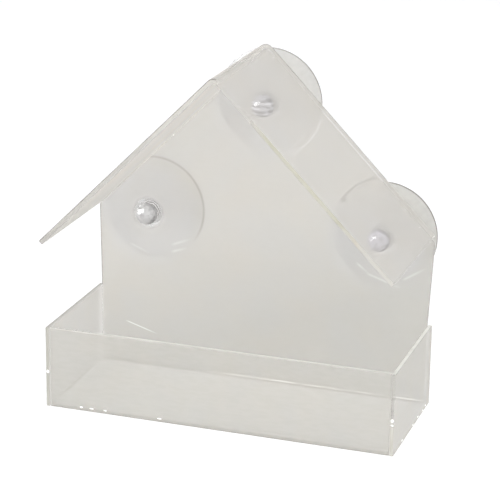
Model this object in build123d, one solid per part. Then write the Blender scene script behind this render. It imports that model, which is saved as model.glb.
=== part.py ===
from build123d import *
from math import atan2, cos, degrees, radians, sin, tan
import os

# Window bird feeder: a clear house-shaped back panel, a bent roof, a seed tray and three suction cups.
# Millimetres. +X is to the right seen from the front, +Y points at the window, +Z is up.
# The origin is under the middle of the whole feeder, on the surface that the tray stands on.

# Sheet and house
sheet = 2.0  # thickness of all the clear sheet
house_height = 150.0  # where the two outer slopes would cross, above the tray's underside
eave_height = 74.3  # outer edge of each eave
roof_span = 149.0  # from eave to eave
roof_overhang = 6.0  # how far the roof reaches past the tray's front wall
ridge_bend = 3.5  # outer radius of the bend along the ridge
panel_lean = 1.0  # how far each side of the back panel leans out between the tray and the eaves

# Seed tray
tray_length = 150.0
tray_depth = 59.0  # from the front wall's face to the back panel's back
tray_height = 35.0

# Places of the suction cups
top_cup_drop = 27.0  # from where the outer slopes would cross down to the top cup's axis
side_cup_drop = 3.8  # from the outer edges of the eaves down to the lower cups' axes
side_cup_reach = 51.4  # from the middle to each lower cup

# Suction cup, relaxed
cup_diameter = 45.0
cup_depth = 7.0  # from its shoulder to its rim on the window
cup_crown = 3.2  # wall at the middle
cup_lip = 0.8  # wall at the rim
rim_land = 1.2  # width of the flat ring that meets the window
crown_width = 9.0  # flat middle of the hollow
shoulder_diameter = 9.8
shoulder_height = 1.4
shoulder_flare = 0.8
neck_diameter = 6.0
head_diameter = 9.6  # a ball on a short taper, which snaps through the hole
head_root_diameter = 7.6
head_taper = 1.0  # from the head's underside to its widest place
tab_width = 2.0  # small lifting tab on the rim
tab_reach = 1.2
dome_bow = 0.9  # how far the outer face bows out between shoulder and lip
hollow_bow = 0.9

# Angles that the lifting tabs stand at, seen from the front, anticlockwise from +X
top_tab_angle = 200.0
left_tab_angle = 255.0
right_tab_angle = 145.0

# Fits and the overrun of cuts
neck_clearance = 0.05  # radial gap between a neck and its hole
end_play = 0.3  # gap on each side of the panel, between shoulder and head
overrun = 1.0

# Worked out from the values above
pitch = degrees(atan2(house_height - eave_height, roof_span / 2))
cup_length = end_play + cup_depth
front_y = -(roof_overhang + tray_depth + cup_length) / 2
wall_front_y = front_y + roof_overhang
panel_back_y = wall_front_y + tray_depth
panel_front_y = panel_back_y - sheet
inner_length = tray_length - 2 * sheet
inner_ridge_height = house_height - sheet / cos(radians(pitch))
top_cup_height = house_height - top_cup_drop
side_cup_height = eave_height - side_cup_drop


def inner_slope_height(x):
    """Height of the roof's underside above a place on the X axis, with the ridge taken as sharp."""
    return inner_ridge_height - abs(x) * tan(radians(pitch))


def upright_sheet(outline, y, depth):
    """Extrudes a face drawn on the XZ plane from y towards the window."""
    return Pos(0, y, 0) * extrude(outline, amount=depth, dir=(0, 1, 0))


def xz_outline(points):
    """A closed face on the XZ plane through (x, z) points."""
    corners = [(x, 0, z) for x, z in points]
    return make_face(Polyline(*corners, close=True).edges())


def ridge_corner(face):
    """The corner of a face that lies highest, at the ridge."""
    return face.vertices().sort_by(Axis.Z)[-1]


def cup_places():
    """Name, place on the panel and tab angle of each suction cup."""
    return [
        ("top_suction_cup", 0, top_cup_height, top_tab_angle),
        ("left_suction_cup", -side_cup_reach, side_cup_height, left_tab_angle),
        ("right_suction_cup", side_cup_reach, side_cup_height, right_tab_angle),
    ]


def make_back_panel():
    """House-shaped panel between the tray's ends, with a hole for each suction cup."""
    half_tray = inner_length / 2
    half_eave = half_tray + panel_lean
    left_side = [(-half_eave, inner_slope_height(half_eave)), (-half_tray, tray_height), (-half_tray, 0)]
    right_side = [(-x, z) for x, z in reversed(left_side)]
    outline = xz_outline([(0, inner_ridge_height)] + left_side + right_side)
    outline = fillet(ridge_corner(outline), ridge_bend - sheet)
    panel = upright_sheet(outline, panel_front_y, sheet)
    hole_radius = neck_diameter / 2 + neck_clearance
    for _, x, z, _ in cup_places():
        hole_start = Plane((x, panel_front_y - overrun, z), z_dir=(0, 1, 0))
        panel -= extrude(hole_start * Circle(hole_radius), amount=sheet + 2 * overrun)
    return panel


def make_roof():
    """One sheet bent along the ridge, with its eaves cut square to the sheet."""
    half_span = roof_span / 2
    inner_eave_x = half_span - sheet * sin(radians(pitch))
    inner_eave_z = eave_height - sheet * cos(radians(pitch))
    outer_edge = [(-half_span, eave_height), (0, house_height), (half_span, eave_height)]
    inner_edge = [(inner_eave_x, inner_eave_z), (0, inner_ridge_height), (-inner_eave_x, inner_eave_z)]
    profile = xz_outline(outer_edge + inner_edge)
    profile = fillet(ridge_corner(profile), ridge_bend)
    inner_corner = profile.vertices().sort_by(lambda corner: abs(corner.X))[0]
    profile = fillet(inner_corner, ridge_bend - sheet)
    return upright_sheet(profile, front_y, panel_back_y - front_y)


def tray_sheet(size_x, size_y, size_z, x, y):
    """A flat rectangular sheet that stands on the ground, centred on x, with its front face at y."""
    return Pos(x, y, 0) * Box(size_x, size_y, size_z, align=(Align.CENTER, Align.MIN, Align.MIN))


def make_tray():
    """Floor and walls of the seed tray, each a separate sheet."""
    end_x = (tray_length - sheet) / 2
    inner_depth = tray_depth - 2 * sheet
    return {
        "tray_floor": tray_sheet(inner_length, inner_depth, sheet, 0, wall_front_y + sheet),
        "tray_front_wall": tray_sheet(inner_length, sheet, tray_height, 0, wall_front_y),
        "tray_left_end": tray_sheet(sheet, tray_depth, tray_height, -end_x, wall_front_y),
        "tray_right_end": tray_sheet(sheet, tray_depth, tray_height, end_x, wall_front_y),
    }


def cup_profile():
    """Half section of a cup: X is the radius, and Y runs from its shoulder towards the window."""
    neck = neck_diameter / 2
    ball = head_diameter / 2
    shoulder = shoulder_diameter / 2
    rim = cup_diameter / 2
    under_head = -(sheet + 2 * end_play)
    ball_middle = under_head - head_taper
    tip = (0, ball_middle - ball)
    ball_side = (ball, ball_middle)
    root = (head_root_diameter / 2, under_head)
    foot = (shoulder + shoulder_flare, shoulder_height)
    lip = (rim, cup_depth - cup_lip)
    land = (rim - rim_land, cup_depth)
    crown = (crown_width / 2, cup_crown)
    edges = [
        RadiusArc(tip, ball_side, -ball),
        Polyline(ball_side, root, (neck, under_head), (neck, 0), (shoulder, 0), foot),
        SagittaArc(foot, lip, -dome_bow),
        Polyline(lip, (rim, cup_depth), land),
        SagittaArc(land, crown, hollow_bow),
        Polyline(crown, (0, cup_crown), tip),
    ]
    return make_face(Curve() + edges)


def make_cup(x, z, tab_angle):
    """One moulded cup: rounded head, neck in the panel's hole, shoulder, dome, rim and lifting tab."""
    cup = revolve(cup_profile(), Axis.Y)
    rim = cup_diameter / 2
    tab = Box(rim_land + tab_reach, cup_lip, tab_width, align=(Align.MIN, Align.MAX, Align.CENTER))
    cup += Rot(0, -tab_angle, 0) * Pos(rim - rim_land, cup_depth, 0) * tab
    return Pos(x, panel_back_y + end_play, z) * cup


def make_feeder():
    """Every piece of the feeder, by name."""
    pieces = {"back_panel": make_back_panel(), "roof": make_roof()}
    pieces.update(make_tray())
    for name, x, z, tab_angle in cup_places():
        pieces[name] = make_cup(x, z, tab_angle)
    return pieces


os.makedirs("parts", exist_ok=True)
for name, piece in make_feeder().items():
    export_step(piece, f"parts/{name}.step")
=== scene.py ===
import math

import bmesh
import bpy
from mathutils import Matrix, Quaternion, Vector


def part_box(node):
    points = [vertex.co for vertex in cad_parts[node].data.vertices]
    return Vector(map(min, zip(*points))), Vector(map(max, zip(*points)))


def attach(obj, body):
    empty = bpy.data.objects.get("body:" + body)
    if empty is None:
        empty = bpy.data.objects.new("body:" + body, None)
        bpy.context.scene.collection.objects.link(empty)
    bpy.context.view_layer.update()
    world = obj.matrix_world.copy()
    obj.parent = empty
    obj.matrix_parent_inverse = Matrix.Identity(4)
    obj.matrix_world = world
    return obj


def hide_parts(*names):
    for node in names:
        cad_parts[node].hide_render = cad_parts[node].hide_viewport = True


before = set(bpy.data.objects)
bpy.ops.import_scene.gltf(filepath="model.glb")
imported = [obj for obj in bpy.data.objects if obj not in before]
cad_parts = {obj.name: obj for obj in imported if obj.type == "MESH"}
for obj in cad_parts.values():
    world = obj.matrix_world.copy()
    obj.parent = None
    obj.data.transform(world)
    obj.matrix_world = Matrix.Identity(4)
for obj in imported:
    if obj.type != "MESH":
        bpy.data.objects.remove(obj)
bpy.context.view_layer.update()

# A clear window bird feeder: a house-shaped panel, a bent roof, a seed tray and three suction cups.
# Metres, in the CAD's frame: +X is to the right seen from the front, +Y points at the window, +Z is up.

mm = 0.001
print("frame loaded:", ", ".join(sorted(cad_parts)))


def show(name, data):
    piece = bpy.data.objects.new(name, data)
    bpy.context.collection.objects.link(piece)
    return piece


# Camera, at the photograph's own place

cameraView = {
    "azimuth": 18.23,  # degrees
    "elevation": 18.50,
    "roll": 0.89,
    "distance": 823.70 * mm,
    "target": (13.71 * mm, -30.15 * mm, 79.26 * mm),
    "lens": 150.55,  # for a 36 mm wide sensor
    "sensor": 36.0,
    "clip": (0.05, 50.0),
}


def makeCamera(view):
    azimuth, elevation, roll = (math.radians(view[key]) for key in ("azimuth", "elevation", "roll"))
    level = math.cos(elevation)
    toEye = Vector((math.sin(azimuth) * level, -math.cos(azimuth) * level, math.sin(elevation)))
    data = bpy.data.cameras.new("camera")
    data.lens = view["lens"]
    data.sensor_width = view["sensor"]
    data.clip_start, data.clip_end = view["clip"]
    camera = show("camera", data)
    camera.location = Vector(view["target"]) + toEye * view["distance"]
    camera.rotation_mode = "QUATERNION"
    camera.rotation_quaternion = (-toEye).to_track_quat("-Z", "Y") @ Quaternion((0, 0, 1), roll)
    bpy.context.scene.camera = camera


makeCamera(cameraView)
bpy.context.scene.view_settings.view_transform = "Standard"


# Shader maths: a Wire is a socket that can stand in a Python sum, and a Shade builds one material

class Wire:
    def __init__(self, nodes, socket):
        self.nodes = nodes
        self.socket = socket

    def __add__(self, other):
        return self.nodes.maths("ADD", self, other)

    def __sub__(self, other):
        return self.nodes.maths("SUBTRACT", self, other)

    def __rsub__(self, other):
        return self.nodes.maths("SUBTRACT", other, self)

    def __mul__(self, other):
        return self.nodes.maths("MULTIPLY", self, other)

    __radd__ = __add__
    __rmul__ = __mul__


def tint(colour):  # a colour as it shows on screen, 0 to 255, made linear
    linear = [((channel / 255 + 0.055) / 1.055) ** 2.4 for channel in colour]
    return (*linear, 1.0)


class Nodes:
    def __init__(self, tree):
        self.tree = tree
        tree.nodes.clear()

    def add(self, kind, settings=None, values=None, output=None):  # values go by a socket's name or number
        node = self.tree.nodes.new(kind if "Node" in kind else "ShaderNode" + kind)
        for name, value in (settings or {}).items():
            setattr(node, name, value)
        shown = [socket for socket in node.inputs if socket.enabled]
        for name, value in (values or {}).items():
            socket = shown[name] if isinstance(name, int) else next(s for s in shown if s.name == name)
            for item in value if isinstance(value, list) else [value]:
                if isinstance(item, Wire):
                    self.tree.links.new(item.socket, socket)
                elif socket.type == "RGBA" and len(item) == 3:
                    socket.default_value = tint(item)
                else:
                    socket.default_value = item
        outputs = [socket for socket in node.outputs if socket.enabled and output in (None, socket.name)]
        return Wire(self, outputs[0]) if outputs else None

    def maths(self, operation, *terms):
        return self.add("Math", {"operation": operation}, dict(enumerate(terms)))

    def spread(self, value, low, high, start=0.0, end=1.0):  # start at low, end at high
        limits = {"From Min": low, "From Max": high, "To Min": start, "To Max": end}
        return self.add("MapRange", {"clamp": True}, {"Value": value, **limits})

    def course(self, value, points):  # straight runs through (where in mm, level) points
        level = points[0][1]
        for (start, low), (end, high) in zip(points, points[1:]):
            if high != low:
                level = level + self.spread(value, start * mm, end * mm, 0.0, high - low)
        return level


plastics = {
    "passed": 0.88,  # share of the light that clear plastic lets on to what is behind it
    "acrylic": 1.49,  # how strongly each bends light
    "softPvc": 1.53,
}


class Shade(Nodes):
    def __init__(self, owner):  # a world, or the name of a new material
        self.owner = bpy.data.materials.new(owner) if isinstance(owner, str) else owner
        self.owner.use_nodes = True
        super().__init__(self.owner.node_tree)

    def coordinates(self):
        return self.add("TexCoord", output="Object")

    def parts(self, *axes):
        return [self.add("SeparateXYZ", {}, {"Vector": self.coordinates()}, axis) for axis in axes]

    def turned(self):  # the turn round a cup from +X, and the distance along its profile in mm
        uv = self.add("UVMap", {"uv_map": "turned"})
        return [self.add("SeparateXYZ", {}, {"Vector": uv}, axis) for axis in ("X", "Y")]

    def noise(self, size, detail=2.0, stretch=(1, 1, 1), shift=(0, 0, 0)):
        place = self.add("Mapping", {}, {"Vector": self.coordinates(), "Scale": stretch, "Location": shift})
        return self.add("TexNoise", {}, {"Vector": place, "Scale": 1 / size, "Detail": detail}, "Fac")

    def blend(self, factor, first, second, kind="MIX"):
        sockets = {"Factor": factor, "A": first, "B": second}
        return self.add("Mix", {"data_type": "RGBA", "blend_type": kind}, sockets)

    def bump(self, height, strength, distance):
        return self.add("Bump", {}, {"Height": height, "Strength": strength, "Distance": distance})

    def slant(self, steep):  # 0 looking straight at a sheet, 1 looking along it
        facing = self.add("LayerWeight", {}, {"Blend": 0.5}, "Facing")
        return self.spread(facing, *steep)

    def near(self, value, middle, reach):  # 1 at the middle, falling to 0 at reach on each side of it
        return 1.0 - self.spread(self.maths("ABSOLUTE", value - middle), 0.0, reach)

    def facing(self, turn, middle, low, high):  # 1 on the side that the turn's middle points at, 0 behind
        return self.spread(self.maths("COSINE", (turn - middle) * math.tau), low, high)

    def finish(self, plastic, colour, roughness, alpha, gloss=0.5, normal=None, others=None):
        shadow = self.add("LightPath", output="Is Shadow Ray")
        bounce = self.add("LightPath", output="Is Diffuse Ray")
        seen = alpha * (1.0 - (shadow + bounce) * plastics["passed"])  # the eye sees it partly solid
        values = {"Base Color": colour, "Roughness": roughness, "Alpha": seen, **(others or {})}
        values.update({"IOR": plastics[plastic], "Specular IOR Level": gloss})
        if normal:
            values["Normal"] = normal
        return self.surface(self.add("BsdfPrincipled", {}, values))

    def surface(self, shader):
        self.add("OutputMaterial", {}, {"Surface": shader})
        return self.owner


# Finishes: a colour of three numbers is as it shows on screen, and one of four is linear

cupPlaces = {  # tabTurn is the place round the rim whose finish the tab takes
    "top": {"middle": (0, 123.0 * mm), "tabAngle": 200, "tabTurn": 0.86},
    "left": {"middle": (-51.4 * mm, 70.5 * mm), "tabAngle": 255, "tabTurn": 0.86},
    "right": {"middle": (51.4 * mm, 70.5 * mm), "tabAngle": 145, "tabTurn": 0.11},
}
sheetShape = {
    "thickness": 2.0 * mm,
    "arris": 0.3 * mm,
    "glueGap": 0.03 * mm,  # taken off a sheet's edges where cement holds them
    "roofGap": 0.01 * mm,  # taken off all round the roof
    "outerInset": 0.1 * mm,  # taken off the outsides of the tray's ends, where cement drops stand out
    "houseHeight": 150.0 * mm,  # where the outer slopes would cross
    "eaveHeight": 74.3 * mm,
    "roofSpan": 149.0 * mm,
    "ridgeBend": 3.5 * mm,  # outer radius
    "bendSteps": 12,
    "panelLean": {"left": 0.7 * mm, "right": 1.7 * mm},  # each side leans out by its own amount
    "holeRadius": 3.05 * mm,
    "holeSteps": 48,
    "edgeBand": 0.5 * mm,  # a face this near a sheet's edge belongs to it
    "crisp": 25,  # degrees from which a bend is an edge
}
pitch = math.atan2(sheetShape["houseHeight"] - sheetShape["eaveHeight"], sheetShape["roofSpan"] / 2)
innerRidge = sheetShape["houseHeight"] - sheetShape["thickness"] / math.cos(pitch)

# low turns to clear over fade, an axis and two places in mm; shine is a sheet's own gloss
# coat is gloss that fades where the sheet is seen along, and steep is where it turns solid
sheetLooks = {
    "panel": {
        "clear": (205, 202, 195), "low": (194, 192, 185), "alpha": 0.62, "shine": 0.4,
        "fade": ("Z", 24, 74), "steep": (0.82, 0.93),
    },
    "roof": {
        "clear": (219, 216, 210), "low": (218, 215, 209), "alpha": 0.33, "coat": 0.15,
        "fade": ("Z", 70, 110), "steep": (0.72, 0.93),
    },
    # painted light: the underside is a lighter copy of the roof's tone, to offset the shade it gets facing
    # down
    "under": {
        "clear": (240, 237, 231), "low": (240, 237, 231), "alpha": 0.33,
        "fade": ("Z", 70, 110), "steep": (0.72, 0.93),
    },
    "front_wall": {
        "clear": (211, 209, 202), "low": (210, 208, 201), "alpha": 0.38, "coat": 0.4,
        "fade": ("Z", 5, 30), "steep": (0.58, 0.82),
    },
    "left_end": {
        "clear": (209, 206, 198), "low": (209, 206, 199), "alpha": 0.42, "coat": 0.2,
        "fade": ("Z", 5, 30), "steep": (0.58, 0.82),
    },
    "right_end": {
        "clear": (224, 222, 216), "low": (224, 222, 216), "alpha": 0.42, "coat": 0.3,
        "fade": ("Z", 5, 30), "steep": (0.84, 0.95),
    },
    "floor": {
        "clear": (218, 216, 210), "low": (210, 208, 201), "alpha": 0.38, "coat": 0.4,
        "fade": ("Y", 8, 26), "steep": (0.58, 0.82),
    },
}
sheetGrain = {
    "plain": (1.0, 1.0, 1.0),
    "warm": (1.015, 0.995, 0.975),  # what a faint warm patch does to the colour
    "cool": (0.985, 0.99, 1.01),
    "warmShare": 0.8,
    "coolShare": 0.7,
    "patch": 26 * mm,  # size of the patches
    "patchFade": (0.35, 0.65),
    "drift": 15.6 * mm,  # and of the cool ones
    "driftFade": (0.4, 0.7),
    "scuff": 1.2 * mm,
    "scuffFade": (0.62, 0.8),
    "lean": -0.35,  # the panel's low tone reaches higher to the right
    "roughness": 0.07,
    "scuffed": 0.12,  # what hairline scuffs add to it
    "wave": 30 * mm,
    "waviness": 0.02,
    "edgeOn": 0.85,  # how solid a sheet looks when seen along its length
    "rubbed": (5.6 * mm, 7.6 * mm),  # the panel is clearest round the cups' heads
    "rubbedAlpha": 0.26,
    "foot": (0.5 * mm, 0.8 * mm),  # painted contact shade: the front wall darkens along its lowest line, where it stands on the floor
    "footShadeTone": (176, 173, 166),
    "footShadeAlpha": 0.8,
    # marks on the panel, in mm: straight lines with their ends, half width and strength; first a scratch,
    # then painted light that the cups' rims throw on it
    "lines": (
        ((-62, 20), (-47, 15.5), 0.35, 1.0), ((8, 101.6), (19, 112.6), 0.3, 1.0),
        ((41.5, 59.5), (48, 54.5), 0.7, 0.35), ((46, 55.2), (61.5, 50.3), 0.7, 0.35),
        ((61.6, 53.8), (72, 60.5), 0.7, 0.3), ((-40.8, 57.2), (-31.5, 61), 0.8, 0.3),
        ((-41, 54), (-33, 56.8), 0.8, 0.35), ((-60, 56), (-50, 52), 0.7, 0.22),
    ),
    "lineEnds": (2.0, 6.0),  # a line comes in over the first length and goes out over the second
    # painted light (pale) and painted shade (dark) that a cup's rim throws on it: tone, middle, radius, turn,
    # where they fade, half width and strength
    "arcs": (
        ("pale", (3.1, 123.6), 21.9, -0.105, (0.84, 0.94), 0.6, 0.85),
        ("dark", (-48.2, 73.6), 22.2, 0.1, (0.25, 0.6), 0.8, 0.25),
        ("dark", (54.2, 74.4), 22.8, 0.33, (0.8, 0.9), 0.6, 0.75),
        ("dark", (35.8, 85.6), 0.0, 0.0, (-9.0, -8.0), 1.2, 1.0),  # a spot, where a tab shows through
    ),
    "pale": (250, 250, 247),
    "dark": (96, 93, 88),
    "beforeCups": (18 * mm, 25 * mm),  # the panel is cooler in front of the cups
    "beforeTone": (1.005, 1.015, 1.055, 1.0),
    "held": (26.4 * mm, 26.9 * mm),  # the left end is clearer where the panel's edge is cemented to it
    "heldShare": 0.3,
    "ripple": {"panel": 0.08, "front_wall": 0.4, "right_end": 0.2, "floor": 0.2},  # how much of it each has
    "rippleSize": 1.2 * mm,
    "rippleTone": (0.94, 0.94, 0.93, 1.0),
    "floorTop": (1 * mm, 1.5 * mm),
    "leftShade": (-73 * mm, -50 * mm),  # painted shade: the floor darkens towards its left end
    "leftShadeTone": (200, 198, 191),
    "leftShadeShare": 0.4,
    "leftShadeAlpha": 0.06,
    "seam": (23.7 * mm, 0.8 * mm),  # a thin dull line on the floor, just in front of the panel
    "seamTone": (150, 147, 140),
    "seamShows": ((-30, 0.0), (0, 1.0)),
    "seamAlpha": 0.3,
}


def toned(colour, change):
    return (*(channel * share for channel, share in zip(tint(colour), change)), 1.0)


def strokeMark(shade, start, end, reach):  # 1 on a straight stroke across X and Z, 0 at reach from it, in mm
    across, height = (axis * (1 / mm) for axis in shade.parts("X", "Z"))
    run = Vector(end) - Vector(start)
    length = run.length
    run.normalize()
    along = (across - start[0]) * run.x + (height - start[1]) * run.y
    beside = (height - start[1]) * run.x - (across - start[0]) * run.y
    first, last = sheetGrain["lineEnds"]
    ends = shade.spread(along, 0.0, first) * (1.0 - shade.spread(along, length - last, length))
    return shade.near(beside, 0.0, reach) * ends


def arcMark(shade, middle, radius, turn, fade, reach):  # the same on a circle, round the side at turn
    across, height = shade.parts("X", "Z")
    right = across * (1 / mm) - middle[0]
    up = height * (1 / mm) - middle[1]
    away = shade.maths("POWER", right * right + up * up, 0.5)
    side = right * math.cos(turn * math.tau) + up * math.sin(turn * math.tau)
    reached = max(radius, 1.0)
    return shade.near(away, radius, reach) * shade.spread(side, fade[0] * reached, fade[1] * reached)


def markPanel(shade, grain, colour, alpha):  # cooler before the cups, clearer round their heads, with a scratch and painted light and shade from the cups' rims
    away = 1.0
    for x, z in (cup["middle"] for cup in cupPlaces.values()):
        flat = shade.add("VectorMath", {"operation": "MULTIPLY"}, {0: shade.coordinates(), 1: (1, 0, 1)})
        reach = shade.add("VectorMath", {"operation": "DISTANCE"}, {0: flat, 1: (x, 0, z)}, "Value")
        away = shade.maths("MINIMUM", reach, away)
    before = 1.0 - shade.spread(away, *grain["beforeCups"])
    colour = shade.blend(before, colour, grain["beforeTone"], "MULTIPLY")
    for *stroke, strength in grain["lines"]:
        colour = shade.blend(strokeMark(shade, *stroke) * strength, colour, grain["pale"])
    for tone, *circle, strength in grain["arcs"]:
        colour = shade.blend(arcMark(shade, *circle) * strength, colour, grain[tone])
    hazy = shade.spread(away, *grain["rubbed"])
    return colour, grain["rubbedAlpha"] + hazy * (alpha - grain["rubbedAlpha"])


def markFloor(shade, grain, colour, alpha):  # painted shade darkening its left end, with a thin dull line before the panel
    across, depth, height = shade.parts("X", "Y", "Z")
    leftShade = 1.0 - shade.spread(across, *grain["leftShade"])
    colour = shade.blend(leftShade * grain["leftShadeShare"], colour, grain["leftShadeTone"])
    top = shade.spread(height, *grain["floorTop"])
    seam = shade.near(depth, *grain["seam"]) * top * shade.course(across, grain["seamShows"])
    colour = shade.blend(seam, colour, grain["seamTone"])
    return colour, alpha + leftShade * grain["leftShadeAlpha"] + seam * grain["seamAlpha"]


def makeSheetFinish(use, look, grain):  # polished acrylic, a little hazy, with faint patches and fine scuffs
    shade = Shade(f"clear_acrylic_{use}")
    axis, low, high = look["fade"]
    across, run = shade.parts("X", axis)
    rise = shade.spread(run + across * grain["lean"] if use == "panel" else run, low * mm, high * mm)
    patches = shade.spread(shade.noise(grain["patch"]), *grain["patchFade"])
    drift = shade.spread(shade.noise(grain["drift"], 1.0, shift=(3, 1, 2)), *grain["driftFade"])
    plain, warm, cool = (
        shade.blend(rise, toned(look["low"], grain[change]), toned(look["clear"], grain[change]))
        for change in ("plain", "warm", "cool")
    )
    patched = shade.blend(patches * grain["warmShare"], plain, warm)
    colour = shade.blend(drift * grain["coolShare"], patched, cool)
    scuffs = shade.spread(shade.noise(grain["scuff"], 3.0, stretch=(1, 1, 0.12)), *grain["scuffFade"])
    alpha = look["alpha"]
    if use == "panel":
        colour, alpha = markPanel(shade, grain, colour, alpha)
    if use in grain["ripple"]:  # fine level ripples left by rolling
        ripple = shade.spread(shade.noise(grain["rippleSize"], stretch=(0.25, 0.25, 1)), 0.4, 0.6)
        colour = shade.blend(ripple * grain["ripple"][use], colour, grain["rippleTone"], "MULTIPLY")
    if use == "floor":
        colour, alpha = markFloor(shade, grain, colour, alpha)
    if use == "front_wall":
        # painted contact shade along the front wall's foot
        foot = 1.0 - shade.spread(run, *grain["foot"])
        colour = shade.blend(foot, colour, grain["footShadeTone"])
        alpha = alpha + foot * (grain["footShadeAlpha"] - alpha)
    slant = shade.slant(look["steep"])
    alpha = alpha + slant * (grain["edgeOn"] - alpha)
    if use == "left_end":
        alpha = alpha * (1.0 - shade.spread(shade.parts("Y")[0], *grain["held"]) * grain["heldShare"])
    waves = shade.bump(shade.noise(grain["wave"], 1.0), grain["waviness"], 2 * mm)
    coat = {"Coat Weight": look["coat"] * (1.0 - slant)} if "coat" in look else {}
    roughness = grain["roughness"] + scuffs * grain["scuffed"]
    return shade.finish("acrylic", colour, roughness, alpha, look.get("shine", 0.0), waves, coat)


# an edge's darker and lighter tone, alpha and grain in mm; (place in mm, alpha) pairs change across the house
edgeLooks = {
    "cut_edge": ((160, 157, 151), (182, 179, 173), 0.8, 5),
    "clear_edge": ((236, 234, 228), (242, 240, 234), 0.1, 8),
    "shaded_edge": ((170, 168, 161), (182, 180, 173), 0.9, 12),
    # painted light: the bright and pale top edges stand for the light they catch from above
    "bright_edge": ((222, 221, 214), (242, 241, 236), 0.85, 6),
    "back_end": ((203, 200, 193), (210, 207, 201), 0.88, 20),
    # painted dark reflections: the dark arrises stand for the dark lines seen along the sheets' silhouettes
    "dark_arris": ((96, 92, 90), (146, 142, 138), 0.92, 6),
    # painted dark reflection from the ridge down, fainter before the top cup
    "back_arris": ((96, 92, 90), (146, 142, 138), ((15, 0.92), (18, 0.45), (23, 0.45), (26, 0.92)), 6),
    "under_arris": ((120, 117, 112), (150, 147, 142), ((-66, 0.85), (-58, 0.35), (-50, 0.15)), 6),
    # painted shade: the darkest silhouette arrises, dark enough to stay dark under the key lamp
    "soft_arris": ((66, 63, 60), (98, 94, 90), 0.9, 8),
    "plain_edge": ((202, 200, 193), (207, 205, 199), 0.9, 12),
    # painted light caught by the top arrises
    "pale_arris": ((206, 204, 196), (224, 222, 215), 0.5, 7),
    "glued": ((204, 201, 194), (210, 208, 200), 0.12, 9),
    "joint": ((198, 196, 189), (203, 201, 194), 0.62, 9),
    # painted light along the front wall's top edge, lost in the sheet near the left end
    "top_edge": ((217, 216, 210), (230, 229, 224), ((-58, 0.2), (-44, 0.85)), 9),
}
edgePales = {"back_arris": ((242, 241, 236), ((52.5, 0.0), (54, 1.0)))}  # a painted pale line before the right cup
endEdgeLook = {  # an end sheet's narrow edges: shaded at the left, with painted reflections at the right, grey then yellow going down
    "left": (192, 190, 182),
    "leftAlpha": 0.95,
    "grey": (176, 172, 168),
    "yellow": (226, 224, 213),
    "yellowDark": (208, 205, 190),
    "greyShows": ((15.6, 0.0), (17.5, 0.4), (24, 0.2), (29, 0.0)),
    "yellowShows": ((0, 0.4), (12, 0.35), (15.6, 0.0)),
    "plainAlpha": 0.1,
    "lines": 0.55 * mm,  # fine upright lines in the yellow part
}
roofEndLook = {  # every place is in mm across the roof
    "plain": (206, 203, 196),
    "pale": (224, 221, 213),
    "olive": (192, 190, 166),
    "paleOlive": (202, 200, 184),
    "amber": (214, 205, 186),
    "oliveShows": ((14, 0.0), (21, 0.85), (46, 0.85), (50, 1.0), (55, 0.6), (61, 0.0)),
    "amberShows": ((55, 0.0), (58, 0.8), (61, 0.0)),
    "paleShows": ((-31, 0.0), (-24, 0.8), (-2, 1.0), (2, 0.0), (55, 0.0), (60, 0.6)),
    "plainAlpha": ((0, 0.45), (4, 0.12), (12, 0.12), (18, 0.45)),
    "oliveAlpha": 0.75,
    "paleAlpha": 0.6,
}


def makeEdgeFinish(name, dark, light, alpha, grain):  # a cut or scraped edge, uneven along its length
    shade = Shade(name)
    runs = shade.spread(shade.noise(grain * mm, 3.0), 0.3, 0.7)
    across = shade.parts("X")[0]
    colour = shade.blend(runs, dark, light)
    if name in edgePales:
        pale, shows = edgePales[name]
        colour = shade.blend(shade.course(across, shows), colour, pale)
    if isinstance(alpha, tuple):
        alpha = shade.course(across, alpha)
    marks = shade.bump(shade.noise(0.4 * mm), 0.25, 0.1 * mm)
    return shade.finish("acrylic", colour, 0.16 + runs * 0.1, alpha, 0.12, marks)


def makeEndEdgeFinish(look):  # the front and back edges of the tray's ends
    shade = Shade("end_edge")
    across, height = shade.parts("X", "Z")
    right = shade.spread(across, -1 * mm, 1 * mm)
    grey, yellow = (shade.course(height, look[f"{tone}Shows"]) for tone in ("grey", "yellow"))
    lines = shade.spread(shade.noise(look["lines"], 1.0, stretch=(1, 1, 0.05)), 0.4, 0.6)
    lower = shade.blend(lines * 0.7, look["yellow"], look["yellowDark"])
    shown = shade.blend(shade.spread(grey - yellow, -0.2, 0.2), lower, look["grey"])
    colour = shade.blend(right, look["left"], shown)
    alpha = (1.0 - right) * look["leftAlpha"] + right * (look["plainAlpha"] + grey + yellow)
    return shade.finish("acrylic", colour, 0.16 + lines * 0.06, alpha, 0.15)


def makeRoofEndFinish(look):  # light gathers in the roof's front end and comes out olive at the right
    shade = Shade("roof_end")
    across = shade.parts("X")[0]
    olive, amber, pale = (shade.course(across, look[f"{tone}Shows"]) for tone in ("olive", "amber", "pale"))
    runs = shade.spread(shade.noise(11 * mm, 3.0), 0.35, 0.65)
    colour = shade.blend(pale, look["plain"], look["pale"])
    colour = shade.blend(olive, colour, shade.blend(runs, look["olive"], look["paleOlive"]))
    colour = shade.blend(amber, colour, look["amber"])
    plain = shade.course(across, look["plainAlpha"])
    alpha = plain + olive * (look["oliveAlpha"] - plain) + pale * (look["paleAlpha"] - plain)
    marks = shade.bump(shade.noise(0.5 * mm), 0.2, 0.1 * mm)
    return shade.finish("acrylic", colour, 0.2 + runs * 0.1, alpha, 0.2, marks)


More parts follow.
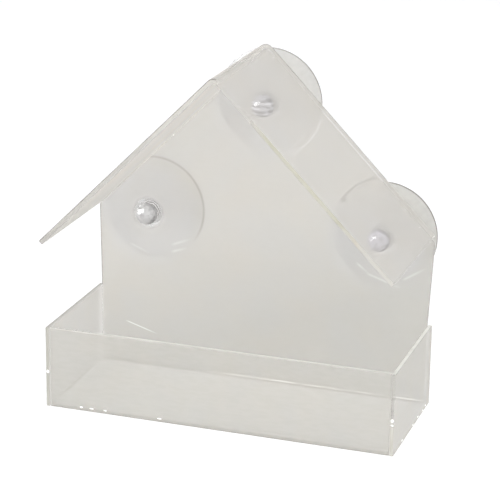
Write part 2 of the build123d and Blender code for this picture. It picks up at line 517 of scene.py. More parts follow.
cementLook = {
    "pale": (252, 250, 244),
    "grey": (204, 201, 192),
    "beadAlpha": 0.04,  # a well filled joint hardly shows
    "dull": (140, 137, 130),
    "floorShows": ((-73, 0.0), (-69, 0.75), (-40, 0.4), (-20, 0.4), (5, 0.8)),  # dull, then bright
    "roofShows": ((40, 0.0), (47, 0.2)),  # and under the right eave
    "backFrom": (20 * mm, 24 * mm),  # where the floor's back joint begins, going back
    "backUnder": (3 * mm, 5 * mm),  # and where it ends, going up
    "glintFrom": (-32 * mm, -14 * mm),
    "roofFrom": (40 * mm, 60 * mm),
    "glow": 0.4,  # painted light: the bead's bright part glows, for the light it gathers from the sheets
    "drop": (1.0, 1.0, 0.98, 1.0),
    # painted glints: the drops glow
    "dropGlint": 0.35,
}


def makeBeadFinish(look):  # dried solvent cement, glassy and uneven, clear where it has filled the joint
    shade = Shade("cement_bead")
    across, depth, height = shade.parts("X", "Y", "Z")
    runs = shade.noise(3.5 * mm, 3.0)
    back = shade.spread(depth, *look["backFrom"]) * (1.0 - shade.spread(height, *look["backUnder"]))
    glinting = shade.spread(across, *look["glintFrom"])
    roof = shade.spread(height, *look["roofFrom"])
    shows = back * shade.course(across, look["floorShows"]) + roof * shade.course(across, look["roofShows"])
    colour = shade.blend(shade.spread(runs, 0.36, 0.52), look["grey"], look["pale"])
    colour = shade.blend(back * (1.0 - glinting), colour, look["dull"])
    # painted glow on the bright part of the floor's back bead
    lit = shade.blend(back * glinting, (0, 0, 0, 1), look["pale"])
    glow = {"Emission Color": lit, "Emission Strength": look["glow"]}
    lumps = shade.bump(runs, 0.3, 0.2 * mm)
    return shade.finish("acrylic", colour, 0.05 + runs * 0.06, look["beadAlpha"] + shows, 0.15, lumps, glow)


def makeDropFinish(look):
    shade = Shade("cement_drop")
    # painted glints: the drops glow as well as catching the lamps
    glow = {"Emission Color": look["drop"], "Emission Strength": look["dropGlint"], "Coat Weight": 0.6}
    return shade.finish("acrylic", look["drop"], 0.05 + shade.noise(0.6 * mm) * 0.06, 1.0, others=glow)


cupLook = {  # a Turn is the middle of a side, as a share of a whole turn from +X, and how it fades
    "body": (211, 211, 212),
    "bodyPale": (218, 218, 218),
    "upperShade": (200, 198, 192),  # painted shade: darker and duller on the upper right
    "upperShadePale": (211, 209, 203),
    "upperShadeTurn": (0.1, 0.3, 0.7),
    "bodyAlpha": 0.38,
    "upperShadeAlpha": {"top": 0.48, "left": 0.42, "right": 0.64},
    "lowAlpha": 0.12,  # low on the right, where the dish is clearest
    "lowTurn": (0.8, 0.4, 0.9),
    "shade": (184, 184, 185),  # the darker side of the dish
    "shadeTurn": (0.45, -0.2, 0.7),
    "shadeAlong": (22.0, 33.0),
    "shadeAlpha": 0.6,
    "shaded": {"top": 0.9, "left": 0.3, "right": 0.0},
    "lip": (33.46, 0.3),  # where along the profile the outer face darkens, and how far from there
    "lipTurn": (0.11, 0.35, 0.65),
    "lipTone": (104, 100, 96),
    "lipped": {"top": 0.5, "left": 1.0, "right": 1.0},
    # painted reflections: dark and pale rings on the shoulder's upper right
    "shoulder": (70, 66, 72),
    "shoulderPale": (250, 249, 250),
    "shoulderTurn": (0.14, 0.1, 0.6),
    "shoulderAlpha": 0.9,
    "rim": (104, 100, 97),
    "rimTurn": (0.11, 0.55, 0.8),
    # a painted glint on the rim's lower right
    "rimGlint": (250, 248, 242),
    "rimGlintAt": (0.86, 0.07),
    "rimPlain": (196, 193, 188),
    "rimAlpha": 0.95,
    "headAlpha": 0.92,
    # painted shade on the heads: darkest towards the widest ring, and low on one side
    "headRing": (5.4, 7.4),  # along the profile, in mm, to the head's widest ring
    "headLow": (3.4, 5.6),
    "headLowAt": (0.88, 0.16),
}
headLooks = {  # the two that stand under the roof's right slope are seen through it, and are darker
    "top": {
        "light": (236, 236, 243), "dark": (80, 78, 92), "grain": 1.5 * mm, "stretch": (0.25, 1, 1.3),
        "ring": 0.35, "low": 0.4, "coat": 0.2, "shine": 0.3, "stripes": (122.55, 2.3),
    },
    "left": {
        "light": (206, 205, 204), "dark": (138, 135, 135), "grain": 1.9 * mm, "stretch": (1, 1, 1),
        "ring": 0.4, "low": 1.0, "coat": 0.8, "shine": 0.5,
    },
    "right": {
        "light": (206, 204, 216), "dark": (56, 52, 68), "grain": 1.8 * mm, "stretch": (1, 1, 1),
        "ring": 0.8, "low": 0.7, "coat": 0.0, "shine": 0.25,
    },
}


def makeBodyFinish(look, side):  # clear soft PVC with moulded-in flow and haze
    shade = Shade(f"soft_pvc_{side}_body")
    turn, along = shade.turned()
    flow = shade.spread(shade.noise(7 * mm, 3.0), 0.35, 0.65)
    mottle = shade.spread(shade.noise(1.8 * mm, 4.0), 0.35, 0.75)
    sides = ("lip", "upperShade", "low", "shade")
    lip, upperShade, low, shaded = (shade.facing(turn, *look[f"{part}Turn"]) for part in sides)
    lip = lip * shade.near(along, *look["lip"]) * look["lipped"][side]
    shaded = shaded * shade.spread(along, *look["shadeAlong"]) * look["shaded"][side]
    colour = shade.blend(flow * 0.5 + mottle * 0.5, look["body"], look["bodyPale"])
    # painted shade on the upper right, and on the darker side of the dish
    duller = shade.blend(flow * 0.4 + mottle * 0.6, look["upperShade"], look["upperShadePale"])
    colour = shade.blend(upperShade, colour, duller)
    colour = shade.blend(shaded, colour, look["shade"])
    colour = shade.blend(lip, colour, look["lipTone"])
    plain = alpha = look["bodyAlpha"]
    solid = ((upperShade, look["upperShadeAlpha"][side]), (low, look["lowAlpha"]), (shaded, look["shadeAlpha"]))
    for part, most in solid:
        alpha = alpha + part * (most - plain)
    alpha = alpha + lip * (look["rimAlpha"] - alpha)
    ripple = shade.bump(shade.noise(2.2 * mm), 0.08, 0.3 * mm)
    return shade.finish("softPvc", colour, 0.12 + flow * 0.08, alpha, 0.1, ripple)


def makeShoulderFinish(look):  # the thick step behind the panel, with painted reflections in dark and pale rings on its upper right
    shade = Shade("soft_pvc_shoulder")
    turn, along = shade.turned()
    rings = shade.maths("SINE", along * 7.0 + shade.noise(1.6 * mm, 3.0) * 9.0)
    shown = 0.15 + shade.facing(turn, *look["shoulderTurn"]) * 0.85
    ringed = shade.blend(shade.spread(rings, -0.4, 0.4), look["shoulder"], look["shoulderPale"])
    colour = shade.blend(shown, look["body"], ringed)
    roughness = 0.05 + shade.noise(1 * mm) * 0.05
    return shade.finish("softPvc", colour, roughness, look["shoulderAlpha"], others={"Coat Weight": 0.5})


def makeRimFinish(look):  # the thin edge, dark on the upper right, with a painted glint on the lower right
    shade = Shade("soft_pvc_rim")
    turn = shade.turned()[0]
    dark = shade.facing(turn, *look["rimTurn"])
    colour = shade.blend(dark, look["rimPlain"], look["rim"])
    colour = shade.blend(shade.near(turn, *look["rimGlintAt"]), colour, look["rimGlint"])
    return shade.finish("softPvc", colour, 0.1 + dark * 0.1, look["rimAlpha"])


def makeHeadFinish(side, look, cup):  # the round head of clear PVC, with painted shade darkest round its widest and low on one side
    shade = Shade(f"soft_pvc_{side}_head")
    turn, along = shade.turned()
    ring = shade.spread(along, *cup["headRing"]) * look["ring"]
    low = shade.near(turn, *cup["headLowAt"]) * shade.spread(along, *cup["headLow"]) * look["low"]
    flow = shade.noise(look["grain"], 3.0, stretch=look["stretch"])
    dark = shade.maths("MAXIMUM", ring, low)
    if "stripes" in look:  # painted reflections in level bands, with a painted highlight in the light ones; from their middle height and spacing in mm
        middle, spacing = look["stripes"]
        height = (shade.parts("Z")[0] * (1 / mm) - middle) * (math.tau / spacing)
        bands = shade.maths("COSINE", height + flow * 1.5 - 0.75)
        dark = dark + shade.spread(bands, -0.6, 0.6, 0.5, 0.0)
    dark = shade.spread(dark + shade.spread(flow, 0.4, 0.62, 0.0, 0.5), 0.1, 1.0)
    colour = shade.blend(dark, look["light"], look["dark"])
    lumps = shade.bump(flow, 0.25, 0.3 * mm)
    coat = {"Coat Weight": look["coat"]}
    return shade.finish("softPvc", colour, 0.05 + flow * 0.03, cup["headAlpha"], look["shine"], lumps, coat)


sheetFinishes = {use: makeSheetFinish(use, look, sheetGrain) for use, look in sheetLooks.items()}
edgeFinishes = {name: makeEdgeFinish(name, *look) for name, look in edgeLooks.items()}
edgeFinishes["end_edge"] = makeEndEdgeFinish(endEdgeLook)
edgeFinishes["roof_end"] = makeRoofEndFinish(roofEndLook)
edgeFinishes["under"] = sheetFinishes["under"]
cementFinishes = {"bead": makeBeadFinish(cementLook), "drop": makeDropFinish(cementLook)}
bodyFinishes = {side: makeBodyFinish(cupLook, side) for side in cupPlaces}
cupFinishes = [makeRimFinish(cupLook), makeShoulderFinish(cupLook)]
headFinishes = {side: makeHeadFinish(side, look, cupLook) for side, look in headLooks.items()}
print("finishes made:", len(bpy.data.materials))


# Sheets: each is an outline with thickness, whose edges are scraped to a small arris

def innerSlope(x):  # height of the roof's underside above a place across the house, with the ridge sharp
    return innerRidge - abs(x) * math.tan(pitch)


def insetLoop(loop, inset):  # moves every side of a closed outline to its left by the same distance
    moved = []
    for i, point in enumerate(loop):
        before = (point - loop[i - 1]).normalized()
        after = (loop[(i + 1) % len(loop)] - point).normalized()
        normal = Vector((-before.y, before.x))
        bisector = Vector((-before.y - after.y, before.x + after.x)).normalized()
        moved.append(point + bisector * inset / normal.dot(bisector))
    return moved


def roundCorner(before, corner, after, radius, steps):  # an arc that is tangent to both sides
    toBefore = (before - corner).normalized()
    toAfter = (after - corner).normalized()
    half = toBefore.angle(toAfter) / 2
    middle = corner + (toBefore + toAfter).normalized() * radius / math.sin(half)
    start = corner + toBefore * radius / math.tan(half) - middle
    end = corner + toAfter * radius / math.tan(half) - middle
    turn = math.atan2(start.x * end.y - start.y * end.x, start.dot(end))
    points = []
    for i in range(steps + 1):
        angle = turn * i / steps
        rotated = Vector((
            start.x * math.cos(angle) - start.y * math.sin(angle),
            start.x * math.sin(angle) + start.y * math.cos(angle),
        ))
        points.append(middle + rotated)
    return points


def circleLoop(middle, radius, steps):  # clockwise, so that a hole's inset grows it
    angles = [-2 * math.pi * i / steps for i in range(steps)]
    return [Vector((middle[0] + radius * math.cos(a), middle[1] + radius * math.sin(a))) for a in angles]


def rectangle(low, high):
    return [Vector(low), Vector((high[0], low[1])), Vector(high), Vector((low[0], high[1]))]


def setPiece(shape, name, finishes, crisp, node, body):
    bmesh.ops.recalc_face_normals(shape, faces=shape.faces)
    mesh = bpy.data.meshes.new(name)
    shape.to_mesh(mesh)
    shape.free()
    for finish in finishes:
        mesh.materials.append(finish)
    mesh.shade_smooth()
    mesh.set_sharp_from_angle(angle=math.radians(crisp))
    piece = show(name, mesh)
    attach(piece, body)
    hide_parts(node)


def makePlate(use, node, loops, axis, choose, caps=("face", "face"), off=(0, 0)):
    # loops: the outline anticlockwise, then any holes; the sheet is thick along the axis, 0 to 2, less off
    # at each end; choose names a side face's finish from its middle and level, and caps name the ends' own
    finishNames = ["face", *edgeFinishes]
    arris = sheetShape["arris"]
    low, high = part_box(node)
    start = low[axis] + off[0]
    depth = high[axis] - off[1] - start
    levels = [(arris, 0), (0, arris), (0, depth - arris), (arris, depth)]
    shape = bmesh.new()
    borders = {0: [], 3: []}

    def place(point, height):
        spot = [point.x, point.y]
        spot.insert(axis, start + height)
        return shape.verts.new(spot)

    for loop in loops:
        rings = []
        for inset, height in levels:
            rings.append([place(point, height) for point in (insetLoop(loop, inset) if inset else loop)])
        for level, (ring, above) in enumerate(zip(rings, rings[1:])):
            for i in range(len(loop)):
                j = (i + 1) % len(loop)
                side = shape.faces.new((ring[i], ring[j], above[j], above[i]))
                side.material_index = finishNames.index(choose(side.calc_center_median(), level))
        for level, edges in borders.items():
            ring = rings[level]
            edges += [shape.edges.get((ring[i - 1], ring[i])) for i in range(len(ring))]
    for cap, edges in zip(caps, borders.values()):
        filled = bmesh.ops.triangle_fill(shape, edges=edges, use_beauty=True)
        for face in filled["geom"]:
            if isinstance(face, bmesh.types.BMFace):
                face.material_index = finishNames.index(cap)
    finishes = [sheetFinishes[use], *edgeFinishes.values()]
    setPiece(shape, f"{use}_sheet", finishes, sheetShape["crisp"], node, "house")


def makeBackPanel():
    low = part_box("back_panel")[0]
    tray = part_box("tray_left_end")[1]
    halfTray = -tray.x

    def sideLine(side):  # up one side of the house
        half = halfTray + sheetShape["panelLean"][side]
        return [(halfTray, low.z), (halfTray, tray.z), (half, innerSlope(half))]

    right = [Vector(point) for point in sideLine("right")]
    left = [Vector((-x, z)) for x, z in reversed(sideLine("left"))]
    bend = sheetShape["ridgeBend"] - sheetShape["thickness"]
    ridge = roundCorner(right[-1], Vector((0, innerRidge)), left[0], bend, sheetShape["bendSteps"])
    loops = [insetLoop(right + ridge + left, sheetShape["glueGap"])]
    for cup in cupPlaces.values():
        loops.append(circleLoop(cup["middle"], sheetShape["holeRadius"], sheetShape["holeSteps"]))

    def choose(middle, level):
        if abs(middle.x) < halfTray - 2 * sheetShape["edgeBand"]:
            return "face"
        if middle.z < tray.z:
            return "glued" if middle.x < 0 else "joint"
        if middle.x < 0:
            return ("soft_arris", "plain_edge", "face")[level]
        return "soft_arris" if level == 2 else "face"

    makePlate("panel", "back_panel", loops, 1, choose)


roofRims = {  # where the finish of the roof's edges changes
    "front": 1 * mm,  # places across
    "back": -4 * mm,
    "eaveIn": 1.6 * mm,  # how far the eave's cut edge reaches in and up
    "eaveUp": 0.1 * mm,
}


def makeRoof():
    thickness, arris = sheetShape["thickness"], sheetShape["arris"]
    half = sheetShape["roofSpan"] / 2
    along = Vector((math.cos(pitch), -math.sin(pitch)))  # down the right slope
    inward = Vector((-math.sin(pitch), -math.cos(pitch)))  # from the outer face to the underside
    outerEave = Vector((half, sheetShape["eaveHeight"]))
    innerEave = outerEave + inward * thickness
    rightEnd = [innerEave - along * arris, innerEave - inward * arris]
    rightEnd += [outerEave + inward * arris, outerEave - along * arris]
    leftEnd = [Vector((-point.x, point.y)) for point in reversed(rightEnd)]
    outerRidge = Vector((0, sheetShape["houseHeight"]))
    bend, steps = sheetShape["ridgeBend"], sheetShape["bendSteps"]
    outer = roundCorner(rightEnd[-1], outerRidge, leftEnd[0], bend, steps)
    inner = roundCorner(leftEnd[-1], Vector((0, innerRidge)), rightEnd[0], bend - thickness, steps)
    outline = insetLoop(rightEnd + outer + leftEnd + inner, sheetShape["roofGap"])
    eave = (half - roofRims["eaveIn"], sheetShape["eaveHeight"] + roofRims["eaveUp"])

    def choose(middle, level):
        outside = middle.z > innerSlope(middle.x) + thickness / 2
        if level == 0:
            if middle.x > roofRims["front"]:
                return "face" if outside else "roof_end"
            return "dark_arris" if outside else "under"
        if level == 2:
            if outside:
                return "back_arris" if middle.x > roofRims["back"] else "back_end"
            return "under" if middle.x > 0 else "under_arris"
        if abs(middle.x) > eave[0] and middle.z < eave[1]:
            return "cut_edge" if middle.x < 0 else "clear_edge"
        if not outside and abs(middle.x) < bend:
            return "clear_edge"
        return "face" if outside else "under"

    makePlate("roof", "roof", [outline], 1, choose, ("roof_end", "back_end"))


def makeTray():
    gap, band, inset = (sheetShape[key] for key in ("glueGap", "edgeBand", "outerInset"))

    def buried(middle, level):
        return "glued" if level == 1 else "face"

    def front(middle, level):
        if middle.z > high.z - band:
            return "top_edge" if level == 1 else "pale_arris"
        return "glued" if level == 1 and middle.z > band else "face"

    def leftEnd(middle, level):
        if middle.z > high.z - band:
            return ("soft_arris", "shaded_edge", "face")[level]
        return "end_edge" if middle.y < low.y + band and level < 2 else "face"

    def rightEnd(middle, level):
        if middle.z > high.z - band:
            return "bright_edge" if level == 1 else "pale_arris"
        if middle.y < low.y + band:
            return "end_edge" if level == 1 else "face"
        return "plain_edge" if level > 0 else "face"

    sheets = (
        ("floor", 2, buried, (0, 0)), ("front_wall", 1, front, (0, 0)),
        ("left_end", 0, leftEnd, (inset, 0)), ("right_end", 0, rightEnd, (0, inset)),
    )
    for use, axis, choose, off in sheets:
        low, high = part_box(f"tray_{use}")
        flat = [i for i in range(3) if i != axis]
        outline = insetLoop(rectangle([low[i] for i in flat], [high[i] for i in flat]), gap)
        makePlate(use, f"tray_{use}", [outline], axis, choose, off=off)


makeBackPanel()
makeRoof()
makeTray()
print("sheets made")


# Cement: thin uneven beads along the joints that show one, and drops squeezed out of them

seamShape = {
    "Bead Radius": 0.3 * mm,
    "Unevenness": 0.12 * mm,
    "Step": 1.2 * mm,
    "Drop Radius": 0.2 * mm,
    "Drop Spacing": 9 * mm,
    "Drop Share": 0.2,
    "Seed": 7,
}
seamPlaces = {
    "tuck": 0.35,  # how far a bead stands out of its corner, in its own radii
    "wallStop": 2,  # how far under the front wall's top it ends, in its own radii
    "ahead": 1.7 * mm,  # cement squeezed out on the floor before the panel
    "level": 0.03 * mm,
    "ridge": 0.28,  # how far under the sharp ridge the beads meet, in the roof's bend radii
}
cementDrops = {  # squeezed out of the joints, large enough to catch the light: places and half sizes in mm
    "front": {"x": (-59, -54.4, -48.4, -24.4), "z": 1.5, "half": ((0.7, 0.15, 0.3), (1.0, 0.15, 0.26))},
    "right": {"share": (0.24, 0.54, 0.68, 0.82, 0.9), "z": (1.2, 0.8), "half": (0.25, 0.9, 0.45)},
    "edges": {"left": (15.4,), "right": (15.2, 13.2), "half": ((0.62, 0.15, 0.7), (0.6, 0.12, 0.3))},
    "eave": {"x": (3.5, 61.5, 68.0), "half": (0.4, 0.2, 0.4)},
}


def seamLines(radius, places):  # corner lines of the joints with a bead, moved a little into the open
    off = radius * places["tuck"]
    floorLow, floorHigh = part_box("tray_floor")
    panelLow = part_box("back_panel")[0]
    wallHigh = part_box("tray_front_wall")[1]
    left, right = floorLow.x + off, floorHigh.x - off
    front, back = floorLow.y + off, panelLow.y - off
    low, high = floorHigh.z + off, wallHigh.z - radius * places["wallStop"]
    ahead, level = panelLow.y - places["ahead"], floorHigh.z + places["level"]
    lines = [[(left, front, low), (right, front, low)], [(left, ahead, level), (right, ahead, level)]]
    for x in (left, right):
        lines.append([(x, front, low), (x, front, high)])
    half = floorHigh.x
    eave = innerSlope(half) - off
    ridge = innerRidge - sheetShape["ridgeBend"] * places["ridge"]
    lines.append([(-half, back, eave), (0, back, ridge), (half, back, eave)])
    return lines


def dropSpots():
    spots = []
    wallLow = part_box("tray_front_wall")[0]
    drops = cementDrops["front"]
    for i, x in enumerate(drops["x"]):
        spots.append(((x * mm, wallLow.y, drops["z"] * mm), drops["half"][i % 2]))
    drops = cementDrops["right"]
    endLow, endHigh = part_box("tray_right_end")
    for i, share in enumerate(drops["share"]):
        y = endLow.y + share * (endHigh.y - endLow.y)
        spots.append(((endHigh.x - drops["half"][0] * mm, y, drops["z"][i % 2] * mm), drops["half"]))
    drops = cementDrops["edges"]
    for side in ("left", "right"):
        low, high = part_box(f"tray_{side}_end")
        for z, half in zip(drops[side], drops["half"]):
            spots.append((((low.x + high.x) / 2, low.y, z * mm), half))
    drops = cementDrops["eave"]
    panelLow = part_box("back_panel")[0]
    for x in drops["x"]:
        spots.append(((x * mm, panelLow.y, innerSlope(x * mm) - drops["half"][2] * mm), drops["half"]))
    return spots


def makeSeamTree(shape):
    tree = bpy.data.node_groups.new("cement_seams", "GeometryNodeTree")
    face = tree.interface
    face.new_socket("Lines", in_out="INPUT", socket_type="NodeSocketGeometry")
    for name, value in shape.items():
        kind = "NodeSocketInt" if name == "Seed" else "NodeSocketFloat"
        face.new_socket(name, in_out="INPUT", socket_type=kind).default_value = value
    for part in cementFinishes:
        face.new_socket(f"{part.title()} Finish", in_out="INPUT", socket_type="NodeSocketMaterial")
    face.new_socket("Cement", in_out="OUTPUT", socket_type="NodeSocketGeometry")
    net = Nodes(tree)
    given = tree.nodes.new("NodeGroupInput")
    take = {socket.name: Wire(net, socket) for socket in given.outputs if socket.name}

    def grow(kind, values, settings=None, output=None):
        return net.add("GeometryNode" + kind, settings, values, output)

    lines = grow("MeshToCurve", {"Mesh": take["Lines"]})
    path = grow("ResampleCurve", {"Curve": lines, "Length": take["Step"]}, {"mode": "LENGTH"})
    wander = net.add("TexNoise", {}, {"Scale": 220.0, "Detail": 2.0}, "Color")
    wander = net.add("VectorMath", {"operation": "SUBTRACT"}, {0: wander, 1: (0.5, 0.5, 0.5)})
    wander = net.add("VectorMath", {"operation": "SCALE"}, {"Vector": wander, "Scale": take["Unevenness"]})
    path = grow("SetPosition", {"Geometry": path, "Offset": wander})
    uneven = net.add("TexNoise", {}, {"Scale": 130.0, "Detail": 3.0}, "Fac")
    width = net.spread(uneven, 0.38, 0.62, 0.25, 1.25)
    ring = grow("CurvePrimitiveCircle", {"Resolution": 8, "Radius": take["Bead Radius"]})
    bead = grow("CurveToMesh", {"Curve": path, "Profile Curve": ring, "Scale": width, "Fill Caps": True})
    bead = grow("SetMaterial", {"Geometry": bead, "Material": take["Bead Finish"]})

    along = {"Curve": lines, "Length": take["Drop Spacing"]}
    points = grow("CurveToPoints", along, {"mode": "LENGTH"}, "Points")
    chosen = {"Probability": take["Drop Share"], "Seed": take["Seed"]}
    chosen = net.add("FunctionNodeRandomValue", {"data_type": "BOOLEAN"}, chosen)
    limits = {"Min": (0.5, 0.5, 0.4), "Max": (1.6, 1.6, 1.0), "Seed": take["Seed"] + 1}
    size = net.add("FunctionNodeRandomValue", {"data_type": "FLOAT_VECTOR"}, limits)
    ball = grow("MeshIcoSphere", {"Radius": take["Drop Radius"], "Subdivisions": 2}, output="Mesh")
    small = {"Points": points, "Selection": chosen, "Instance": ball, "Scale": size}
    loose = grow("InputMeshVertexNeighbors", {}, output="Vertex Count")
    loose = net.add("FunctionNodeCompare", {"data_type": "INT", "operation": "EQUAL"}, {0: loose, 1: 0})
    spots = grow("MeshToPoints", {"Mesh": take["Lines"], "Selection": loose})
    half = grow("InputNamedAttribute", {"Name": "half"}, {"data_type": "FLOAT_VECTOR"}, "Attribute")
    ball = grow("MeshIcoSphere", {"Radius": 1.0, "Subdivisions": 3}, output="Mesh")
    large = {"Points": spots, "Instance": ball, "Scale": half}
    drops = grow("JoinGeometry", {"Geometry": [grow("InstanceOnPoints", some) for some in (small, large)]})
    drops = grow("RealizeInstances", {"Geometry": drops})
    drops = grow("SetMaterial", {"Geometry": drops, "Material": take["Drop Finish"]})
    cement = grow("JoinGeometry", {"Geometry": [bead, drops]})
    cement = grow("SetShadeSmooth", {"Geometry": cement, "Shade Smooth": True})
    net.add("NodeGroupOutput", {}, {0: cement})
    return tree


def makeSeams(shape):
    points, edges = [], []
    for line in seamLines(shape["Bead Radius"], seamPlaces):
        edges += [(len(points) + i, len(points) + i + 1) for i in range(len(line) - 1)]
        points += line
    halves = [(0.0, 0.0, 0.0)] * len(points)
    for place, half in dropSpots():
        points.append(place)
        halves.append(tuple(size * mm for size in half))
    guide = bpy.data.meshes.new("seam_guide")
    guide.from_pydata(points, edges, [])
    guide.materials.append(cementFinishes["bead"])
    sizes = guide.attributes.new("half", "FLOAT_VECTOR", "POINT")
    for i, half in enumerate(halves):
        sizes.data[i].vector = half
    grower = show("seam_guide", guide)
    modifier = grower.modifiers.new("cement", "NODES")
    modifier.node_group = makeSeamTree(shape)
    for socket in modifier.node_group.interface.items_tree:
        if socket.in_out == "INPUT" and socket.name in shape:
            modifier[socket.identifier] = shape[socket.name]
        elif socket.in_out == "INPUT" and socket.name.endswith("Finish"):
            modifier[socket.identifier] = cementFinishes[socket.name.split()[0].lower()]
    grown = grower.evaluated_get(bpy.context.evaluated_depsgraph_get())
    mesh = bpy.data.meshes.new_from_object(grown)
    mesh.materials[0] = cementFinishes["bead"]  # the first slot comes out empty
    bpy.data.objects.remove(grower)
    seams = show("cement_seams", mesh)
    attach(seams, "house")


makeSeams(seamShape)
print("cement made")


# Suction cups: one moulding, turned about its axis

cupShape = {
    "radius": 22.5 * mm,
    "depth": 7.0 * mm,  # from its shoulder to its rim
    "crown": 3.2 * mm,
    "crownRadius": 4.5 * mm,
    "lip": 0.8 * mm,
    "land": 1.2 * mm,
    "shoulderRadius": 4.9 * mm,
    "shoulderHeight": 1.4 * mm,
    "shoulderFlare": 0.8 * mm,
    "neckRadius": 3.0 * mm,
    "headRadius": 4.8 * mm,
    "headRootRadius": 3.8 * mm,
    "headTaper": 1.0 * mm,
    "headSteps": 16,
    "endPlay": 0.3 * mm,
    "domeBow": 0.9 * mm,
    "hollowBow": 0.9 * mm,
    "bowSteps": 14,
    "around": 128,
    "crisp": 40,  # degrees from which a bend is an edge
    "tabWidth": 2.0 * mm,
    "tabReach": 1.2 * mm,
    "tabRoot": 0.4 * mm,  # how far the tab goes into the rim
    "tabRound": 0.7 * mm,
    "tabSteps": 6,
    "tabRings": ((0.08, 0.0), (0.0, 0.1), (0.0, 0.68), (0.08, 0.78)),  # its inset at each height, in mm
}


def bowedLine(start, end, bow, steps):  # a shallow arc from start to end that bulges to its left by bow
    span = end - start
    left = Vector((-span.y, span.x)).normalized()
    points = []
    for i in range(1, steps):
        share = i / steps
        points.append(start + span * share + left * bow * 4 * share * (1 - share))
    return points


def cupProfile(shape):  # (radius, depth) from the head's tip, over the outside, to the middle of the hollow
    underHead = -(sheetShape["thickness"] + 2 * shape["endPlay"])
    ballMiddle = underHead - shape["headTaper"]
    ball, steps = shape["headRadius"], shape["headSteps"]
    head = []
    for i in range(1, steps + 1):
        angle = math.pi / 2 * i / steps
        head.append(Vector((ball * math.sin(angle), ballMiddle - ball * math.cos(angle))))
    neck, step = shape["neckRadius"], shape["shoulderRadius"]
    outer, deep = shape["radius"], shape["depth"]
    root, neckTop, neckFoot, shoulder, foot, lip, rim, land, crown = (Vector(spot) for spot in (
        (shape["headRootRadius"], underHead), (neck, underHead), (neck, 0), (step, 0),
        (step + shape["shoulderFlare"], shape["shoulderHeight"]), (outer, deep - shape["lip"]), (outer, deep),
        (outer - shape["land"], deep), (shape["crownRadius"], shape["crown"]),
    ))
    dome = bowedLine(foot, lip, -shape["domeBow"], shape["bowSteps"])
    hollow = bowedLine(land, crown, shape["hollowBow"], shape["bowSteps"])
    dish = [foot, *dome, lip, rim, land, *hollow, crown]
    return head + [root], [neckTop, neckFoot, shoulder], dish, ballMiddle - ball


def addTab(mould, place, shape, turned, turn):  # the small tab to lift the rim by, rounded at its outer end
    half = shape["tabWidth"] / 2
    bottom = shape["depth"] - shape["lip"]
    bend, steps = shape["tabRound"], shape["tabSteps"]
    inside = shape["radius"] - shape["tabRoot"]
    corner = shape["radius"] + shape["tabReach"] - bend
    outline = [Vector((inside, -half)), Vector((corner, -half))]
    for i in range(1, steps):
        angle = -math.pi / 2 * (1 - i / steps)
        outline.append(Vector((corner + bend * math.cos(angle), -half + bend + bend * math.sin(angle))))
    outline += [Vector((point.x, -point.y)) for point in reversed(outline)]
    rings = []
    for inset, height in shape["tabRings"]:
        loop = insetLoop(outline, inset * mm)
        rings.append([mould.verts.new(place(point.x, point.y, bottom + height * mm)) for point in loop])
    sides = [mould.faces.new(ring) for ring in (rings[0], rings[-1])]
    for low, high in zip(rings, rings[1:]):
        for i in range(len(low)):
            sides.append(mould.faces.new((low[i - 1], low[i], high[i], high[i - 1])))
    for face in sides:
        face.material_index = 1
        for loop in face.loops:
            loop[turned].uv = (turn, 0.0)


def makeCup(side, cup, shape):
    head, stem, dish, tip = cupProfile(shape)
    profile = head + stem + dish
    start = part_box("back_panel")[1].y + shape["endPlay"]
    x, z = cup["middle"]
    rimLevel = next(i for i, point in enumerate(profile) if point.x > shape["radius"] - 0.01 * mm)
    around = shape["around"]

    def finishAt(level):  # 0 body, 1 rim, 2 shoulder, 3 head
        if level < len(head) + 1:
            return 3
        if level < len(head) + len(stem):
            return 2
        return 1 if level == rimLevel else 0

    mould = bmesh.new()
    turned = mould.loops.layers.uv.new("turned")
    along = [profile[0].x]
    for before, after in zip(profile, profile[1:]):
        along.append(along[-1] + (after - before).length)
    rings = []
    for point in profile:
        ring = []
        for i in range(around):
            angle = 2 * math.pi * i / around
            spot = (x + point.x * math.cos(angle), start + point.y, z + point.x * math.sin(angle))
            ring.append(mould.verts.new(spot))
        rings.append(ring)
    for level, (low, high) in enumerate(zip(rings, rings[1:])):
        for i in range(around):
            j = (i + 1) % around
            face = mould.faces.new((low[i], high[i], high[j], low[j]))
            face.material_index = finishAt(level)
            places = ((i, level), (i, level + 1), (i + 1, level + 1), (i + 1, level))
            for loop, (step, up) in zip(face.loops, places):
                loop[turned].uv = (step / around, along[up] / mm)
    for ring, depth, index, reach in ((rings[0], tip, 3, 0), (rings[-1], shape["crown"], 0, along[-1] / mm)):
        middle = mould.verts.new((x, start + depth, z))
        for i in range(around):
            face = mould.faces.new((ring[i - 1], ring[i], middle))
            face.material_index = index
            for loop in face.loops:
                loop[turned].uv = (i / around, reach)
    tab = math.radians(cup["tabAngle"])

    def place(out, across, depth):
        right = out * math.cos(tab) - across * math.sin(tab)
        up = out * math.sin(tab) + across * math.cos(tab)
        return (x + right, start + depth, z + up)

    addTab(mould, place, shape, turned, cup["tabTurn"])
    finishes = [bodyFinishes[side], *cupFinishes, headFinishes[side]]
    node, body = f"{side}_suction_cup", f"{side}_cup"
    setPiece(mould, f"{body}_moulding", finishes, shape["crisp"], node, body)


for side, cup in cupPlaces.items():
    makeCup(side, cup, cupShape)
print("cups made")


# Floor, world and lamps

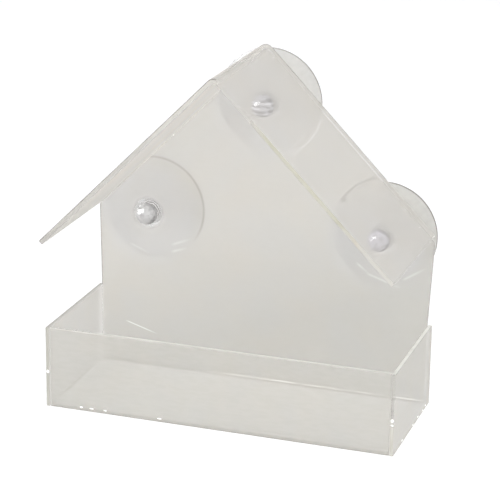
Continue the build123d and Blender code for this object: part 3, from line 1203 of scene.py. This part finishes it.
stageLook = {
    "floorSize": 6.0,
    "floorDrop": 0.05 * mm,
    "floorColour": (0.8, 0.8, 0.8, 1.0),
    "floorLift": 0.28,  # white that the floor shows to the camera on top of its own shade
    "daylight": 0.8,
    "aim": (0, 0, 70 * mm),
    "lamps": {
        "key": {"towards": (-0.62, -0.62, 0.48), "distance": 2.2, "size": 1.2, "power": 18},
        "fill": {"towards": (0.75, -0.5, 0.43), "distance": 2.2, "size": 1.4, "power": 6},
    },
    "glossCards": {
        "left": {"towards": (-0.91, -0.38, 0.14), "distance": 1.6, "size": 1.1, "power": 130},
        "upper": {"towards": (-0.58, -0.58, 0.575), "distance": 1.6, "size": 0.9, "power": 130},
    },
}


def seenDirectly(shade):  # 1 for what the camera sees, straight on, mirrored or through glass
    rays = [shade.add("LightPath", output=f"Is {kind} Ray") for kind in ("Camera", "Glossy", "Transmission")]
    return shade.maths("MINIMUM", rays[0] + rays[1] + rays[2], 1.0)


def makeFloor(look):
    half = look["floorSize"] / 2
    corners = [(*corner, -look["floorDrop"]) for corner in rectangle((-half, -half), (half, half))]
    mesh = bpy.data.meshes.new("floor")
    mesh.from_pydata(corners, [], [(0, 1, 2, 3)])
    shade = Shade("white_floor")
    paint = shade.add("BsdfDiffuse", {}, {"Color": look["floorColour"]})
    glow = shade.add("Emission", {}, {"Strength": seenDirectly(shade) * look["floorLift"]})
    mesh.materials.append(shade.surface(shade.add("AddShader", {}, {0: paint, 1: glow})))
    floor = show("floor", mesh)


def makeWorld(look):
    world = bpy.data.worlds.new("studio")
    bpy.context.scene.world = world
    shade = Shade(world)
    strength = look["daylight"] + seenDirectly(shade) * (1 - look["daylight"])
    sky = shade.add("Background", {}, {"Color": (1, 1, 1, 1), "Strength": strength})
    shade.add("OutputWorld", {}, {"Surface": sky})


def makeLamp(name, lamp, aim, glossOnly):
    data = bpy.data.lights.new(name, "AREA")
    data.shape = "SQUARE"
    data.size = lamp["size"]
    data.energy = lamp["power"]
    light = show(name, data)
    towards = Vector(lamp["towards"]).normalized()
    light.location = towards * lamp["distance"] + Vector(aim)
    light.rotation_mode = "QUATERNION"
    light.rotation_quaternion = towards.to_track_quat("Z", "Y")
    light.visible_camera = False
    light.visible_diffuse = not glossOnly
    light.visible_transmission = not glossOnly


makeFloor(stageLook)
makeWorld(stageLook)
for group in ("lamps", "glossCards"):
    for name, lamp in stageLook[group].items():
        makeLamp(name, lamp, stageLook["aim"], group == "glossCards")
print("studio made")
